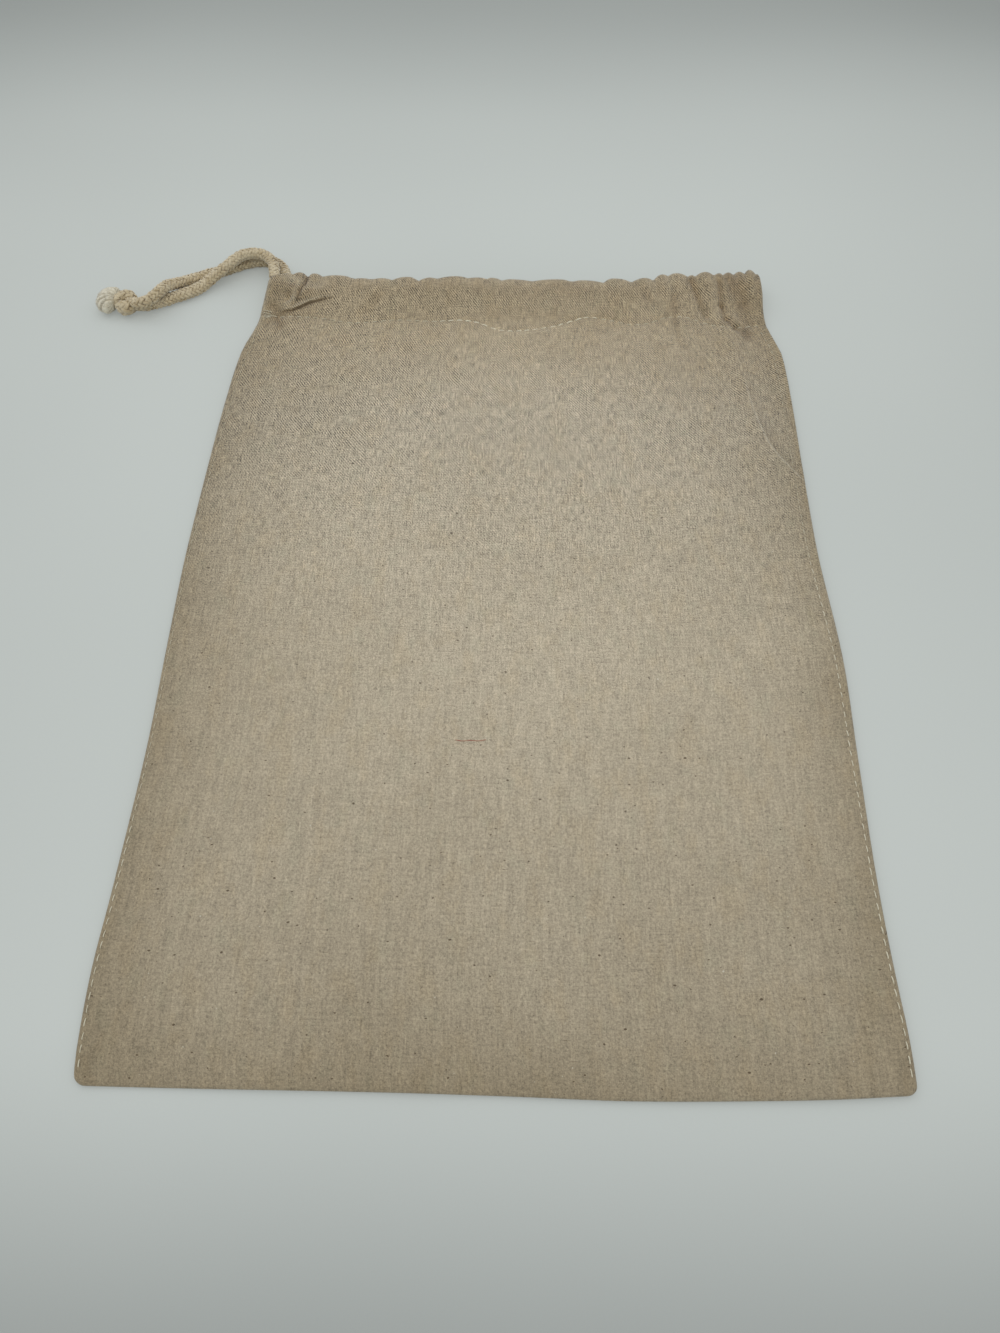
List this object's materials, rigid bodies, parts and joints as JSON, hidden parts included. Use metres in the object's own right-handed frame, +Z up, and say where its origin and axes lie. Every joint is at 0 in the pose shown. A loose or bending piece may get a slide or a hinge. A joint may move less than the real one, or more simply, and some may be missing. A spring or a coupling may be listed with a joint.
{
  "type": "drawstring dust bag",
  "caption": "Flat empty drawstring dust bag of natural cloth, folded at the bottom, with a stitched casing and a knotted braided cord.",
  "frame": {"origin": "under the middle of the bag's cloth, on the surface that it rests on", "axes": "+Y from the bottom fold to the mouth, +Z up from the back ply to the front ply, +X to the right as it is looked at from above; the drawstring leaves at the top left corner"},
  "size_m": [0.3183, 0.3739, 0.0117],
  "materials": {
    "natural_cloth": "natural heathered cotton and linen weave, matt",
    "braided_cotton": "unbleached braided cotton cord, matt",
    "frayed_cotton": "loose unbleached cotton fibre, matt"
  },
  "bodies": {
    "root": {"bag_cloth": "natural_cloth", "drawstring_in_casing": "braided_cotton", "drawstring_end_a": "braided_cotton", "drawstring_end_b": "braided_cotton", "drawstring_knot": "braided_cotton", "drawstring_tuft": "frayed_cotton"}
  },
  "joints": []
}
